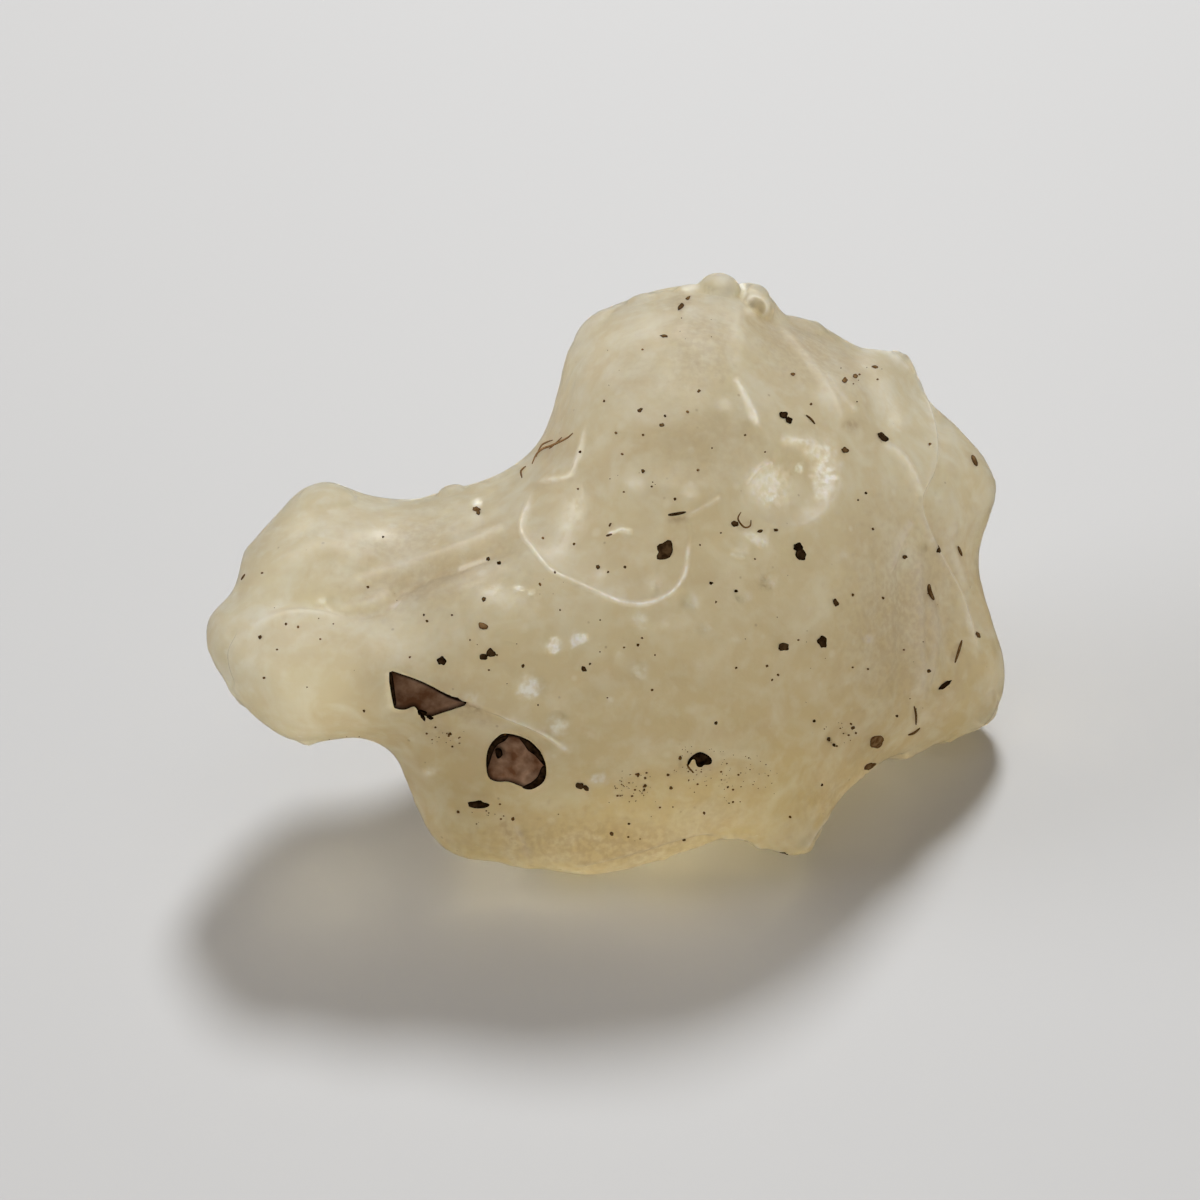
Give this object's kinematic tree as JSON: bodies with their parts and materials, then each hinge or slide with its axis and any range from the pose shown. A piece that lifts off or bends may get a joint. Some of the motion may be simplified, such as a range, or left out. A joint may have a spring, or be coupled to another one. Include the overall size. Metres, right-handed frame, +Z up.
{
  "type": "libyan desert glass pebble",
  "caption": "Pale yellow translucent natural glass pebble with a humped body, a side lobe, a pointed tooth and shallow scallops, resting on a small worn flat.",
  "frame": {"origin": "middle of the stone's footprint box, on the surface that it rests on", "axes": "+Z up as the stone lies; +X along its length, from the tip of the side lobe towards the humped body; -Y is the broad front face with the scallops, which leans back"},
  "size_m": [0.033, 0.0204, 0.0183],
  "materials": {
    "desert_glass": "satin"
  },
  "bodies": {
    "root": {"desert_glass": "desert_glass"}
  },
  "joints": []
}
